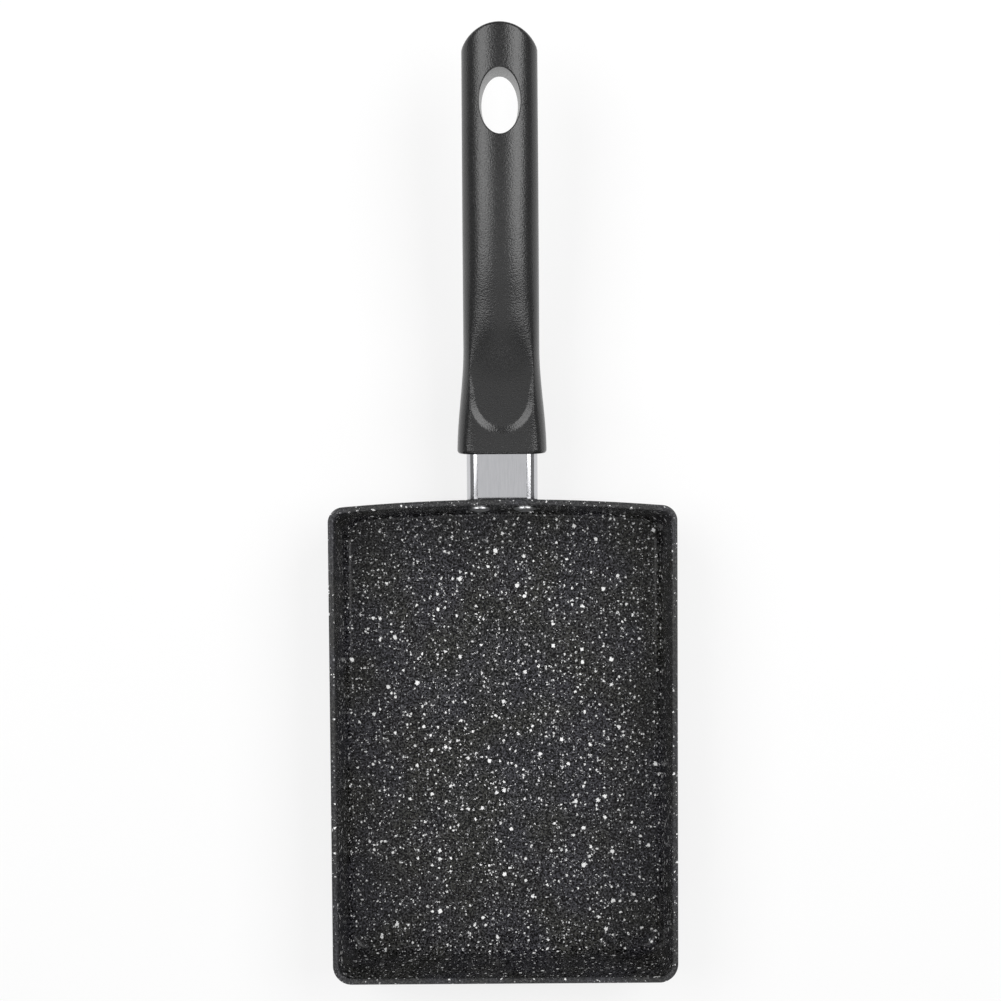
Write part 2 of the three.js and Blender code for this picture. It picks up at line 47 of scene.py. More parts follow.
# Tray
tray_low, tray_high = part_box("pan_body")
RIM_WIDTH = (tray_high.x - tray_low.x) / MM
RIM_LENGTH = 2 * tray_high.y / MM
PAN_HEIGHT = tray_high.z / MM
WALL_THICKNESS = 2.2
BASE_THICKNESS = 3
SIDE_FLARE = 1.4
REAR_FLARE = 2.4
FRONT_FLARE = 1.8
FRONT_NARROWING = 0.8
REAR_BOW = 3
REAR_CORNER_RADIUS = 5.2
FRONT_CORNER_RADIUS = 7
FOOT_CORNER_RADIUS = 12
SHARPEST_CORNER = 1
OUTER_FILLET_RADIUS = 5
FLOOR_FILLET_RADIUS = 3.2
RIM_ROUNDING = 0.36 * WALL_THICKNESS
PAD_HEIGHT = 0.6
PAD_INSET = OUTER_FILLET_RADIUS + 5
PAD_FACE_LIMIT = 0.75 * PAD_HEIGHT  # faces with their middle below this height are the bare pad's
FLAT_MARGIN = 2  # ring of flat faces inside each flat face's edge, which keeps its shading flat

# Line of the handle
MOUNT_HEIGHT = PAN_HEIGHT - 13.5
RISE = math.radians(5)
REAR_LEAN = math.atan2(REAR_FLARE, PAN_HEIGHT)
WALL_FACE = RIM_LENGTH / 2 - REAR_FLARE * (1 - MOUNT_HEIGHT / PAN_HEIGHT)
WALL_DEPTH = WALL_THICKNESS * math.cos(REAR_LEAN)
GUARD_LENGTH = 18.5
FIT_GAP = 0.3

# Rivets
RIVET_SPACING = 17
RIVET_LIFT = 4.6
RIVET_DIAMETER = 4.2
RIVET_HEAD_DIAMETER = 8.4
RIVET_RIM_HEIGHT = 0.6
RIVET_DOME_HEIGHT = 1.2
RIVET_TAIL_DIAMETER = 5.3
RIVET_TAIL_HEIGHT = 1.5
BRACKET_THICKNESS = 2.5

# Flame guard
GUARD_WIDTH = 26.6
GUARD_HEIGHT = 17.5
GUARD_THICKNESS = 0.8
GUARD_CORNER_RADIUS = 4.6
GUARD_INSERTION = 5
GUARD_EDGE = 0.2

# Handle moulding
HANDLE_LENGTH = 156.4
GRIP_FRONT_WIDTH = 28.6
GRIP_END_WIDTH = 27.7
GRIP_HEIGHT = 19
GRIP_SQUARENESS = 2.15
COLLAR_SQUARENESS = 3
UNDERSIDE_SQUARENESS = 2.6
COLLAR_UNDERSIDE_SQUARENESS = 4.4
COLLAR_WIDTH = 33.6
COLLAR_EDGE_RADIUS = 1.2
CROWN_RISE = 2.65
SHOULDER_DEPTH = 2.35
FLARE_LENGTH = 39
CROWN_START = 11
CROWN_END = 120
ROUNDING_END = 90
BELLY_END = 60
HANDLE_SWEEP = 10.5
SWEEP_LENGTH = 130
END_RADIUS = 15.3
END_EDGE_RADIUS = 1.2
END_SWEEP = math.radians(88)  # how far round its arc the end is drawn before a flat face closes it

# Thumb rest
THUMB_FLAT_DEPTH = 1.8
RAMP_START = 26
RAMP_END = 54
RAMP_LIFT = 0.3
RAMP_RUNOUT = 0.01  # how fast the thumb rest leaves the grip past the ramp
RAMP_BLEND = 2.4
REST_END = 80
CROWN_CURVE = 0.023  # drop of the plain crown for the square of the distance from its middle
SCOOP_CENTRE = 22.5
SCOOP_REACH = 12.1
SCOOP_HALF_WIDTH = 10
SCOOP_SPREAD = 0.19  # how fast the scoop widens past the centre of its round front
SCOOP_DEPTH = 1.2
SCOOP_SLOPE = math.tan(math.radians(24))
SCOOP_BLEND = 0.12  # how softly the scoop's floor and edge run into the moulding

# Holes in the handle
HOLE_LENGTH = 23.6
HOLE_WIDTH = 15.1
HOLE_CENTRE = HANDLE_LENGTH - 28
HOLE_TAPER = math.tan(math.radians(2.4))
HOLE_LIP = 0.5  # radius of the rounded lip round the hole
SOCKET_DEPTH = GUARD_INSERTION + FIT_GAP
SCREW_POSITION = 15
COUNTERBORE_DIAMETER = 10.6
COUNTERBORE_TOP = -4.75
SCREW_HOLE_DIAMETER = 5.2
TONGUE_WIDTH = 18
TONGUE_REACH = 30
TONGUE_TOP = 0.25
TONGUE_UNDER = TONGUE_TOP - BRACKET_THICKNESS
NUT_CHANNEL_WIDTH = 9.84
NUT_CHANNEL_LENGTH = 19.8
NUT_CHANNEL_TOP = 6.55

mount_point = Matrix.Translation((0, WALL_FACE * MM, MOUNT_HEIGHT * MM))
handle_place = mount_point @ Matrix.Rotation(RISE, 4, "X")
wall_place = mount_point @ Matrix.Rotation(-REAR_LEAN, 4, "X")


# Shapes

TURNED_STEPS = 48


def lerp(start, end, share):
    return start + (end - start) * share


def ease(value, start, end):
    share = min(1, max(0, (value - start) / (end - start)))
    return share * share * (3 - 2 * share)


def full_turn(count):
    """Evenly spaced angles round a circle."""
    return [2 * math.pi * step / count for step in range(count)]


def quarter_turn(steps):
    """Sines and cosines of evenly spaced angles from 0 to 90 degrees."""
    turns = [QUARTER * step / steps for step in range(steps + 1)]
    return [(math.sin(turn), math.cos(turn)) for turn in turns]


def even_steps(start, end, pitch):
    """Values about a pitch apart, from the one after the start to the end."""
    count = round((end - start) / pitch)
    return [lerp(start, end, step / count) for step in range(1, count + 1)]


def spread_evenly(outline, count):
    """The closed outline again, as points at equal distances along it."""
    closed = outline + outline[:1]
    lengths = [0]
    for before, after in zip(closed, closed[1:]):
        lengths.append(lengths[-1] + math.dist(before, after))
    spots = []
    index = 0
    for step in range(count):
        target = lengths[-1] * step / count
        while lengths[index + 1] < target:
            index += 1
        share = (target - lengths[index]) / (lengths[index + 1] - lengths[index])
        before, after = closed[index], closed[index + 1]
        spots.append((lerp(before[0], after[0], share), lerp(before[1], after[1], share)))
    return spots


def loft(rings, wrap=False):
    """Points and faces of a skin over rings with equal point counts.

    The skin is closed by end faces, or runs from its last ring back to its first.
    """
    count = len(rings[0])
    points = [point for ring in rings for point in ring]
    faces = []
    for row in range(len(rings) if wrap else len(rings) - 1):
        near = row * count
        far = (row + 1) % len(rings) * count
        for step in range(count):
            after = (step + 1) % count
            faces.append((near + step, near + after, far + after, far + step))
    if not wrap:
        faces.append(tuple(reversed(range(count))))
        faces.append(tuple(range(len(points) - count, len(points))))
    return points, faces


def turned_shape(profile):
    """Solid turned about +Y from (radius, distance along the axis) pairs."""
    turns = full_turn(TURNED_STEPS)
    return loft([
        [(radius * math.sin(turn), along, radius * math.cos(turn)) for turn in turns]
        for radius, along in profile
    ])


def make_object(name, shape, place=Matrix.Identity(4)):
    points, faces = shape
    mesh = bpy.data.meshes.new(name)
    mesh.from_pydata([place @ (Vector(point) * MM) for point in points], [], faces)
    made = bpy.data.objects.new(name, mesh)
    bpy.context.scene.collection.objects.link(made)
    return made


def cut(body, cutters):
    """Takes the cutters out of the body's mesh and deletes them."""
    for cutter in cutters:
        change = body.modifiers.new("cut", "BOOLEAN")
        change.operation = "DIFFERENCE"
        change.solver = "EXACT"
        change.object = cutter
    bpy.context.view_layer.update()
    drawn = body.evaluated_get(bpy.context.evaluated_depsgraph_get())
    finished = bpy.data.meshes.new_from_object(drawn)
    body.modifiers.clear()
    body.data = finished
    for cutter in cutters:
        bpy.data.objects.remove(cutter)


def shade(body, sharp_angle):
    """Smooth shading, broken at edges that turn by more than the angle in degrees."""
    body.data.shade_smooth()
    body.data.set_sharp_from_angle(angle=math.radians(sharp_angle))


def dress(body, material, replaced):
    """Puts a finished body in the place of a solid. A body that has its materials keeps them."""
    if not body.data.materials:
        body.data.materials.append(material)
    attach(body, "root")
    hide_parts(replaced)


# Materials

RAGGED_GRAIN = 0.5
RAGGED_SHIFT = 1.2
FILM_GRAIN = 0.75
CLOUD_SIZE = 22
# Heights over which the coating is painted paler towards the rim's top, a painted highlight
RIM_HIGHLIGHT_START = PAN_HEIGHT - 1.2
RIM_HIGHLIGHT_END = PAN_HEIGHT - 0.4
# Heights over which flecks are drawn smaller, and their size above, which paints shade on the walls
# and rim
WALL_SHADE_START = 5
WALL_SHADE_END = 10
WALL_SHADE_FLECK_SIZE = 0.84
FLECK_EDGE = 0.04
# From the finest dust to the few large flakes: spacing, share of spots, widest radius, two greys.
# The dust is really about 0.2 mm, and is drawn at 0.5 mm so that it shows.
FLECKS = (
    (0.6, 0.5, 0.25, "#606064", "#a8a8ac"),
    (0.85, 0.28, 0.39, "#b0b0b2", "#ffffff"),
    (1.5, 0.26, 0.57, "#d0d0d0", "#ffffff"),
    (2.8, 0.3, 0.9, "#e8e8e8", "#ffffff"),
)


def linear(code):
    """Linear colour of an sRGB hex value."""
    parts = [int(code[start:start + 2], 16) / 255 for start in (1, 3, 5)]
    return tuple(
        part / 12.92 if part <= 0.04045 else ((part + 0.055) / 1.055) ** 2.4 for part in parts
    ) + (1,)


def add(tree, kind, inputs=None, **settings):
    """Adds a node. An input is a value for its socket or the output that is linked to it.

    A Mix of colours takes its factor in socket 0 and the colours in 6 and 7, and gives output 2.
    """
    made = tree.nodes.new("ShaderNode" + kind)
    for name, value in settings.items():
        setattr(made, name, value)
    for socket, value in (inputs or {}).items():
        if isinstance(value, bpy.types.NodeSocket):
            tree.links.new(value, made.inputs[socket])
        else:
            made.inputs[socket].default_value = value
    return made


def new_material(name):
    made = bpy.data.materials.new(name)
    made.use_nodes = True
    made.node_tree.nodes.clear()
    return made, made.node_tree


def per_mm(size):
    """Texture scale at which one pattern cell is this many millimetres."""
    return 1 / (size * MM)


def sprayed_stone_coating():
    """Sprayed and baked non-stick coating: near-black satin film full of pale mineral flecks.

    The flecks have every size from dust to flakes, and ragged outlines.
    """
    material, tree = new_material("sprayed_stone_coating")
    place = add(tree, "TexCoord").outputs["Object"]
    ragged = add(tree, "TexNoise", {
        "Vector": place, "Scale": per_mm(RAGGED_GRAIN), "Detail": 1,
    }).outputs["Color"]
    pushed = add(tree, "VectorMath", {
        0: ragged, 1: (0.5, 0.5, 0.5),
    }, operation="SUBTRACT").outputs[0]
    shift = add(tree, "VectorMath", {
        0: pushed, "Scale": RAGGED_SHIFT * MM,
    }, operation="SCALE").outputs[0]
    torn = add(tree, "VectorMath", {0: place, 1: shift}, operation="ADD").outputs[0]
    # The film's own grain is about 0.2 mm, and is drawn at 0.75 mm so that it shows.
    grain = add(tree, "TexNoise", {
        "Vector": place, "Scale": per_mm(FILM_GRAIN), "Detail": 1,
    }).outputs["Fac"]
    depth = add(tree, "MapRange", {"Value": grain, "From Min": 0.43, "From Max": 0.63}).outputs[0]
    cloud = add(tree, "TexNoise", {
        "Vector": place, "Scale": per_mm(CLOUD_SIZE), "Detail": 2,
    }).outputs["Fac"]
    tint = add(tree, "MapRange", {"Value": cloud, "From Min": 0.4, "From Max": 0.6}).outputs[0]
    tone = add(tree, "Mix", {
        0: tint, 6: linear("#41413e"), 7: linear("#434348"),
    }, data_type="RGBA").outputs[2]
    colour = add(tree, "Mix", {
        0: depth, 6: linear("#010102"), 7: tone,
    }, data_type="RGBA").outputs[2]
    # Painted highlight: the coating is mixed a little paler towards the rim's top, standing in for
    # the lamps' light on the rim.
    height = add(tree, "SeparateXYZ", {0: place}).outputs["Z"]
    painted_rim_highlight = add(tree, "MapRange", {
        "Value": height, "From Min": RIM_HIGHLIGHT_START * MM, "From Max": RIM_HIGHLIGHT_END * MM, "To Max": 0.25,
    }).outputs[0]
    colour = add(tree, "Mix", {
        0: painted_rim_highlight, 6: colour, 7: linear("#5c5c5e"),
    }, data_type="RGBA").outputs[2]
    # Painted shade: flecks higher than the floor are drawn smaller, which darkens the tray's walls
    # and rim.
    wall_shade_fleck_size = add(tree, "MapRange", {
        "Value": height, "From Min": WALL_SHADE_START * MM, "From Max": WALL_SHADE_END * MM,
        "To Min": 1, "To Max": WALL_SHADE_FLECK_SIZE,
    }).outputs[0]
    for spacing, share, radius, dim, bright in FLECKS:
        spots = add(tree, "TexVoronoi", {"Vector": torn, "Scale": per_mm(spacing)}).outputs
        drawn = add(tree, "SeparateColor", {"Color": spots["Color"]}).outputs
        widest = add(tree, "MapRange", {
            "Value": drawn[0], "From Min": 1 - share, "To Max": radius / spacing,
        }).outputs[0]
        size = add(tree, "Math", {0: widest, 1: wall_shade_fleck_size}, operation="MULTIPLY").outputs[0]
        inside = add(tree, "Math", {
            0: size, 1: spots["Distance"],
        }, operation="SUBTRACT").outputs[0]
        cover = add(tree, "MapRange", {
            "Value": inside, "From Max": FLECK_EDGE * MM * per_mm(spacing),
        }).outputs[0]
        fleck = add(tree, "Mix", {
            0: drawn[1], 6: linear(dim), 7: linear(bright),
        }, data_type="RGBA").outputs[2]
        colour = add(tree, "Mix", {
            0: cover, 6: colour, 7: fleck,
        }, data_type="RGBA").outputs[2]
    rough = add(tree, "MapRange", {"Value": grain, "To Min": 0.16, "To Max": 0.3}).outputs[0]
    bumps = add(tree, "Bump", {
        "Height": grain, "Strength": 0.2, "Distance": 0.05 * MM,
    }).outputs[0]
    surface = add(tree, "BsdfPrincipled", {
        "Base Color": colour, "Roughness": rough, "IOR": 1.28, "Normal": bumps,
    }).outputs[0]
    add(tree, "OutputMaterial", {"Surface": surface})
    return material


def moulded_phenolic():
    """Compression-moulded black phenolic: dense resin, with a very fine grain in its satin skin."""
    material, tree = new_material("moulded_black_phenolic")
    place = add(tree, "TexCoord").outputs["Object"]
    # The tool's etched grain is about 0.15 mm, and is drawn at 0.5 mm so that it shows.
    grain = add(tree, "TexNoise", {
        "Vector": place, "Scale": per_mm(0.5), "Detail": 0,
    }).outputs["Fac"]
    # Resin flows into the tool in faint clouds of about 14 mm.
    flow = add(tree, "TexNoise", {
        "Vector": place, "Scale": per_mm(14), "Detail": 3,
    }).outputs["Fac"]
    colour = add(tree, "Mix", {
        0: flow, 6: linear("#0f0f10"), 7: linear("#171718"),
    }, data_type="RGBA").outputs[2]
    rough = add(tree, "MapRange", {"Value": grain, "To Min": 0.21, "To Max": 0.36}).outputs[0]
    bumps = add(tree, "Bump", {
        "Height": grain, "Strength": 1, "Distance": 0.07 * MM,
    }).outputs[0]
    surface = add(tree, "BsdfPrincipled", {
        "Base Color": colour, "Roughness": rough, "IOR": 1.6, "Normal": bumps,
    }).outputs[0]
    add(tree, "OutputMaterial", {"Surface": surface})
    return material


def polished_stainless():
    """Rolled and polished stainless sheet: a bright mirror drawn out by faint lengthwise lines."""
    material, tree = new_material("polished_stainless_sheet")
    place = add(tree, "TexCoord").outputs["Object"]
    lying = add(tree, "Mapping", {
        "Vector": place, "Rotation": (-RISE, 0, 0), "Scale": (1, 0.02, 1),
    }).outputs[0]
    # The polishing lines are about 0.05 mm, and are drawn at 0.6 mm so that they show.
    lines = add(tree, "TexNoise", {
        "Vector": lying, "Scale": per_mm(0.6), "Detail": 3,
    }).outputs["Fac"]
    colour = add(tree, "Mix", {
        0: lines, 6: linear("#bcbdc0"), 7: linear("#cdcdd0"),
    }, data_type="RGBA").outputs[2]
    rough = add(tree, "MapRange", {"Value": lines, "To Min": 0.08, "To Max": 0.18}).outputs[0]
    bumps = add(tree, "Bump", {
        "Height": lines, "Strength": 0.05, "Distance": 0.02 * MM,
    }).outputs[0]
    surface = add(tree, "BsdfPrincipled", {
        "Base Color": colour, "Metallic": 1, "Roughness": rough, "Normal": bumps,
    }).outputs[0]
    add(tree, "OutputMaterial", {"Surface": surface})
    return material


def tumbled_aluminium():
    """Cold-headed aluminium rivet, tumbled bright: soft white metal with tiny dents."""
    material, tree = new_material("tumbled_aluminium")
    place = add(tree, "TexCoord").outputs["Object"]
    dents = add(tree, "TexNoise", {
        "Vector": place, "Scale": per_mm(0.8), "Detail": 3,
    }).outputs["Fac"]
    colour = add(tree, "Mix", {
        0: dents, 6: linear("#cccdcf"), 7: linear("#dedfe0"),
    }, data_type="RGBA").outputs[2]
    rough = add(tree, "MapRange", {"Value": dents, "To Min": 0.28, "To Max": 0.42}).outputs[0]
    bumps = add(tree, "Bump", {
        "Height": dents, "Strength": 0.15, "Distance": 0.03 * MM,
    }).outputs[0]
    surface = add(tree, "BsdfPrincipled", {
        "Base Color": colour, "Metallic": 1, "Roughness": rough, "Normal": bumps,
    }).outputs[0]
    add(tree, "OutputMaterial", {"Surface": surface})
    return material


def faced_aluminium():
    """Bare aluminium faced on a lathe: bright metal with the cutter's fine rings in it."""
    material, tree = new_material("lathe_faced_aluminium")
    place = add(tree, "TexCoord").outputs["Object"]
    flat = add(tree, "VectorMath", {0: place, 1: (1, 1, 0)}, operation="MULTIPLY").outputs[0]
    radius = add(tree, "VectorMath", {0: flat}, operation="LENGTH").outputs["Value"]
    # The cutter's feed is about 0.2 mm a turn, and is drawn at 0.7 mm so that it shows.
    rings = add(tree, "TexNoise", {
        "W": radius, "Scale": per_mm(0.7), "Detail": 2,
    }, noise_dimensions="1D").outputs["Fac"]
    colour = add(tree, "Mix", {
        0: rings, 6: linear("#b4b5b7"), 7: linear("#d2d3d4"),
    }, data_type="RGBA").outputs[2]
    rough = add(tree, "MapRange", {"Value": rings, "To Min": 0.26, "To Max": 0.42}).outputs[0]
    bumps = add(tree, "Bump", {
        "Height": rings, "Strength": 0.3, "Distance": 0.05 * MM,
    }).outputs[0]
    surface = add(tree, "BsdfPrincipled", {
        "Base Color": colour, "Metallic": 1, "Roughness": rough, "Normal": bumps,
    }).outputs[0]
    add(tree, "OutputMaterial", {"Surface": surface})
    return material


def zinc_plate():
    """Bright zinc electroplate on steel: grey-blue metal with a fine crystalline bloom."""
    material, tree = new_material("zinc_plated_steel")
    place = add(tree, "TexCoord").outputs["Object"]
    # The crystals are about 0.1 mm, and are drawn at 1.2 mm so that they show.
    bloom = add(tree, "TexNoise", {
        "Vector": place, "Scale": per_mm(1.2), "Detail": 4,
    }).outputs["Fac"]
    colour = add(tree, "Mix", {
        0: bloom, 6: linear("#a2a7ab"), 7: linear("#c3c6c8"),
    }, data_type="RGBA").outputs[2]
    rough = add(tree, "MapRange", {"Value": bloom, "To Min": 0.24, "To Max": 0.42}).outputs[0]
    surface = add(tree, "BsdfPrincipled", {
        "Base Color": colour, "Metallic": 1, "Roughness": rough,
    }).outputs[0]
    add(tree, "OutputMaterial", {"Surface": surface})
    return material


def matt_board():
    """Pale matt board under the pan, with barely visible mottling.

    Seen straight or mirrored it shows near white, and it keeps soft shadows.
    """
    material, tree = new_material("matt_pale_board")
    place = add(tree, "TexCoord").outputs["Object"]
    mottle = add(tree, "TexNoise", {
        "Vector": place, "Scale": per_mm(40), "Detail": 3,
    }).outputs["Fac"]
    colour = add(tree, "Mix", {
        0: mottle, 6: linear("#f4f4f4"), 7: linear("#f8f8f8"),
    }, data_type="RGBA").outputs[2]
    board = add(tree, "BsdfPrincipled", {
        "Base Color": colour, "Roughness": 0.9, "IOR": 1.3,
    }).outputs[0]
    white = add(tree, "Emission", {"Color": linear("#ffffff"), "Strength": 1}).outputs[0]
    rays = add(tree, "LightPath").outputs
    mirrored = add(tree, "Math", {
        0: rays["Is Glossy Ray"], 1: rays["Is Transmission Ray"],
    }, operation="MAXIMUM").outputs[0]
    seen = add(tree, "Math", {
        0: rays["Is Camera Ray"], 1: mirrored,
    }, operation="MAXIMUM").outputs[0]
    share = add(tree, "Math", {0: seen, 1: 0.75}, operation="MULTIPLY").outputs[0]
    surface = add(tree, "MixShader", {0: share, 1: board, 2: white}).outputs[0]
    add(tree, "OutputMaterial", {"Surface": surface})
    return material


stone_coating = sprayed_stone_coating()
phenolic = moulded_phenolic()
stainless = polished_stainless()
rivet_metal = tumbled_aluminium()
bare_pad = faced_aluminium()
zinc = zinc_plate()


# Tray

CORNER_STEPS = 18
BOW_STEPS = 60
FILLET_STEPS = 12
RIM_STEPS = 6
TRAY_SHARP_ANGLE = 32


def tray_ring(height, inset):
    """Outline of the tray at one height, drawn in by the inset from the outer face of the walls."""
    fall = 1 - height / PAN_HEIGHT
    rear_half = RIM_WIDTH / 2 - SIDE_FLARE * fall - inset
    front_half = rear_half - FRONT_NARROWING
    rear = RIM_LENGTH / 2 - REAR_BOW - REAR_FLARE * fall - inset
    front = FRONT_FLARE * fall + inset - RIM_LENGTH / 2
    rear_radius = lerp(REAR_CORNER_RADIUS, FOOT_CORNER_RADIUS, fall) - inset
    rear_radius = max(SHARPEST_CORNER, rear_radius)
    front_radius = lerp(FRONT_CORNER_RADIUS, FOOT_CORNER_RADIUS, fall) - inset
    front_radius = max(SHARPEST_CORNER, front_radius)
    corners = (
        (front_half - front_radius, front + front_radius, front_radius, -QUARTER),
        (rear_half - rear_radius, rear - rear_radius, rear_radius, 0),
        (rear_radius - rear_half, rear - rear_radius, rear_radius, QUARTER),
        (front_radius - front_half, front + front_radius, front_radius, 2 * QUARTER),
    )
    ring = []
    for index, (x, y, radius, start) in enumerate(corners):
        for step in range(CORNER_STEPS + 1):
            turn = start + QUARTER * step / CORNER_STEPS
            ring.append((x + radius * math.cos(turn), y + radius * math.sin(turn)))
        if index == 1:
            ring += [(lerp(x, -x, step / BOW_STEPS), rear) for step in range(1, BOW_STEPS)]
    bowed = [(x, y + REAR_BOW * (1 - (x / rear_half) ** 2) if y > 0 else y) for x, y in ring]
    return [(x, y, height) for x, y in bowed]


def rivet_place(side):
    return wall_place @ Matrix.Translation((side * RIVET_SPACING / 2 * MM, 0, RIVET_LIFT * MM))


def rivet_bore(side):
    radius = RIVET_DIAMETER / 2 + FIT_GAP
    bar = turned_shape([(radius, -2 * WALL_THICKNESS), (radius, 2 * WALL_THICKNESS)])
    return make_object("rivet_bore", bar, rivet_place(side))


def tray():
    foot = [
        tray_ring(0, PAD_INSET + FLAT_MARGIN),
        tray_ring(0, PAD_INSET),
        tray_ring(PAD_HEIGHT, PAD_INSET),
        tray_ring(PAD_HEIGHT, OUTER_FILLET_RADIUS + FLAT_MARGIN),
    ]
    outside = [
        tray_ring(PAD_HEIGHT + OUTER_FILLET_RADIUS * (1 - cosine), OUTER_FILLET_RADIUS * (1 - sine))
        for sine, cosine in quarter_turn(FILLET_STEPS)
    ]
    rim_outside = [
        tray_ring(PAN_HEIGHT - RIM_ROUNDING * (1 - sine), RIM_ROUNDING * (1 - cosine))
        for sine, cosine in quarter_turn(RIM_STEPS)
    ]
    rim_inside = [
        tray_ring(
            PAN_HEIGHT - RIM_ROUNDING * (1 - cosine),
            WALL_THICKNESS - RIM_ROUNDING * (1 - sine),
        )
        for sine, cosine in quarter_turn(RIM_STEPS)
    ]
    floor_level = PAD_HEIGHT + BASE_THICKNESS
    inside = [
        tray_ring(
            floor_level + FLOOR_FILLET_RADIUS * (1 - sine),
            WALL_THICKNESS + FLOOR_FILLET_RADIUS * (1 - cosine),
        )
        for sine, cosine in quarter_turn(FILLET_STEPS)
    ]
    floor = [tray_ring(floor_level, WALL_THICKNESS + FLOOR_FILLET_RADIUS + FLAT_MARGIN)]
    body = make_object("tray", loft(foot + outside + rim_outside + rim_inside + inside + floor))
    cut(body, [rivet_bore(side) for side in (-1, 1)])
    body.data.materials.append(stone_coating)
    body.data.materials.append(bare_pad)
    for face in body.data.polygons:
        face.material_index = 1 if face.center.z < PAD_FACE_LIMIT * MM else 0
    shade(body, TRAY_SHARP_ANGLE)
    return body


# Rivets

DOME_STEPS = 8
DOME_START = 0.2  # first of the dome's steps, at the rim of the tiny flat that closes it
RIVET_SHARP_ANGLE = 35


def rivet(side, name):
    head = -WALL_DEPTH - FIT_GAP
    rim = head - RIVET_RIM_HEIGHT
    tail = BRACKET_THICKNESS + 2 * FIT_GAP
    shank = RIVET_DIAMETER / 2
    radius = RIVET_HEAD_DIAMETER / 2
    shares = [step / DOME_STEPS for step in (DOME_START, *range(1, DOME_STEPS + 1))]
    profile = [(radius * share, rim - RIVET_DOME_HEIGHT * (1 - share ** 2)) for share in shares]
    profile += [
        (radius, head), (shank, head), (shank, tail), (RIVET_TAIL_DIAMETER / 2, tail),
        (RIVET_TAIL_DIAMETER / 2, tail + RIVET_TAIL_HEIGHT / 2), (shank, tail + RIVET_TAIL_HEIGHT),
    ]
    body = make_object(name, turned_shape(profile), rivet_place(side))
    shade(body, RIVET_SHARP_ANGLE)
    return body


# Flame guard

GUARD_POINTS = 160
ARC_STEPS = 12
GUARD_SHARP_ANGLE = 30


def guard_outline(offset, count):
    """Rounded-rectangle section, from its top middle round by +X."""
    radius = GUARD_CORNER_RADIUS + offset
    across = GUARD_WIDTH / 2 + offset - radius
    up = GUARD_HEIGHT / 2 + offset - radius
    outline = [(0, up + radius)]
    for x, z, start in ((across, up, 0), (across, -up, 1), (-across, -up, 2), (-across, up, 3)):
        for step in range(ARC_STEPS + 1):
            turn = QUARTER * (start + step / ARC_STEPS)
            outline.append((x + radius * math.sin(turn), z + radius * math.cos(turn)))
    return spread_evenly(outline, count)


def flame_guard():
    """Sleeve whose front end is cut along the leaning wall and whose back end is square."""
    lean = REAR_LEAN + RISE
    end = GUARD_LENGTH + GUARD_INSERTION

    def front(offset, setback):
        return [
            (x, z * math.tan(lean) + (FIT_GAP + setback) / math.cos(lean), z)
            for x, z in guard_outline(offset, GUARD_POINTS)
        ]

    def back(offset, setback):
        return [(x, end - setback, z) for x, z in guard_outline(offset, GUARD_POINTS)]

    rings = [
        front(0, GUARD_EDGE),
        back(0, GUARD_EDGE),
        back(-GUARD_EDGE, 0),
        back(GUARD_EDGE - GUARD_THICKNESS, 0),
        back(-GUARD_THICKNESS, GUARD_EDGE),
        front(-GUARD_THICKNESS, GUARD_EDGE),
        front(GUARD_EDGE - GUARD_THICKNESS, 0),
        front(-GUARD_EDGE, 0),
    ]
    body = make_object("guard_sleeve", loft(rings, wrap=True), handle_place)
    shade(body, GUARD_SHARP_ANGLE)
    return body


# Handle

SECTION_POINTS = 336
CURVE_POINTS = 240
COLLAR_STEPS = 6
THUMB_PITCH = 0.4
GRIP_PITCH = 2
HOLE_PITCH = 0.55
HOLE_MARGIN = 3  # how far ahead of the hole its close sections start
TIP_PITCH = math.radians(4)
HOLE_POINTS = 192
LIP_STEPS = 6
LIP_OVERSHOOT = 0.04  # share of the lip by which the hole's cutter passes the face, to cut cleanly
HANDLE_SHARP_ANGLE = 40


def sweep_height(along):
    """Height of the centre line over the straight handle axis.

    The line is level at both ends and steepest in its front third.
    """
    left = 1 - min(1, along / SWEEP_LENGTH)
    return HANDLE_SWEEP * (1 - left ** 3 * (4 - 3 * left))


def crown_height(along):
    """Height of the round crown over its centre line."""
    return GRIP_HEIGHT / 2 + CROWN_RISE * (1 - ease(along, CROWN_START, CROWN_END))


def soft_lower(first, second, blend):
    """The lower of two heights, with a rounded edge where they cross."""
    gap = first - second
    return (first + second - math.hypot(gap, blend / 2)) / 2


def thumb_rest(x, along):
    """Height of the flat thumb rest, with the scoop in it and the wall round the scoop."""
    left = 1 - ease(along, RAMP_START, RAMP_END)
    flat = sweep_height(along) + crown_height(along) + lerp(RAMP_LIFT, -THUMB_FLAT_DEPTH, left)
    flat += RAMP_RUNOUT * max(0, along - RAMP_END) ** 2
    # The ramp follows the round crown where it leaves it, and is flat where it meets the scoop.
    flat -= CROWN_CURVE * x * x * (1 - left)
    floor = flat - SCOOP_DEPTH * left
    ahead = min(0, along - SCOOP_CENTRE)
    half_width = SCOOP_HALF_WIDTH + SCOOP_SPREAD * max(0, along - SCOOP_CENTRE)
    reach = math.hypot(x / half_width, ahead / SCOOP_REACH)
    slope = math.hypot(x / half_width ** 2, ahead / SCOOP_REACH ** 2)
    outside = (reach - 1) * reach / slope if slope else -half_width
    rise = outside * SCOOP_SLOPE
    # The wall starts in a soft hollow.
    wall = floor + (rise + math.hypot(rise, SCOOP_BLEND)) / 2
    return soft_lower(flat, wall, SCOOP_BLEND)


